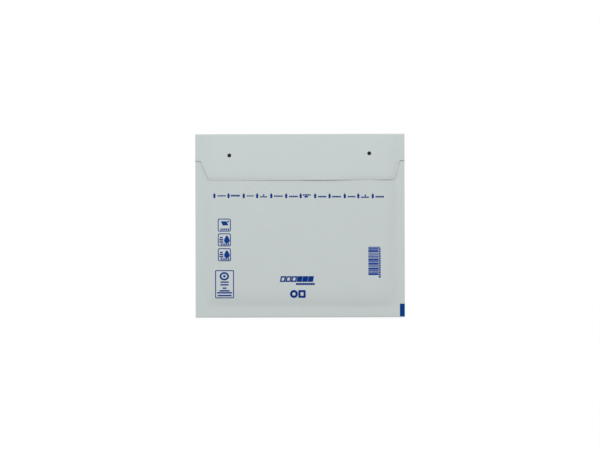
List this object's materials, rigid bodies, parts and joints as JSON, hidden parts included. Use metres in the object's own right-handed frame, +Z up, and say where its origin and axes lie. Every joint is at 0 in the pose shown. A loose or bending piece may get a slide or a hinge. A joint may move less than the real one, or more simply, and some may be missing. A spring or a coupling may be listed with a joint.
{
  "type": "bubble mailer",
  "caption": "Flat padded envelope for one disc case: white paper bag lined with bubble film, with the peel-and-seal flap folded over its front.",
  "frame": {"origin": "under the middle of the mailer, on the surface that it lies on", "axes": "+X across the mailer, +Y from the bottom fold to the flap fold, +Z up out of the front, which the flap lies on"},
  "size_m": [0.2, 0.1756, 0.0078],
  "materials": {
    "paper": "matt white kraft paper",
    "bubble_film": "clear polyethylene film",
    "adhesive": "hot-melt adhesive",
    "release_film": "smooth release film"
  },
  "bodies": {
    "root": {"paper_envelope": "paper", "bubble_liner": "bubble_film", "adhesive_strip": "adhesive", "release_liner": "release_film"}
  },
  "joints": []
}
